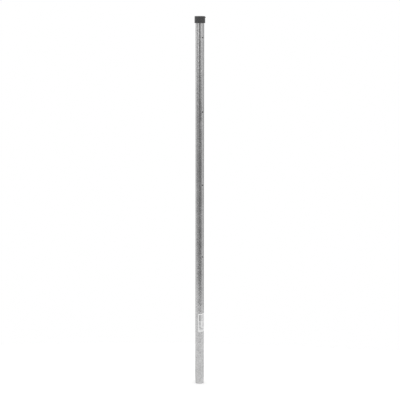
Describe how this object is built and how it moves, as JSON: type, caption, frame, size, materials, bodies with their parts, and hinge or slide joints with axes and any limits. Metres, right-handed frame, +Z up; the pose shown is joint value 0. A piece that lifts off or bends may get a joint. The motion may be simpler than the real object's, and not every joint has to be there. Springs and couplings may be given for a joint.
{
  "type": "electric fence corner post",
  "caption": "Upright galvanised steel tube post for an electric fence, with a black push-on cap and a column of cross holes for insulators.",
  "frame": {"origin": "centre of the tube's open lower end", "axes": "+Z up the post along the tube's axis, -Y the way the column of cross holes faces"},
  "size_m": [0.043, 0.043, 1.528],
  "materials": {
    "galvanised_steel": "satin",
    "black_plastic": "satin",
    "label_film": "satin"
  },
  "bodies": {
    "root": {"post_tube": "galvanised_steel", "cap": "black_plastic", "label": "label_film"}
  },
  "joints": []
}
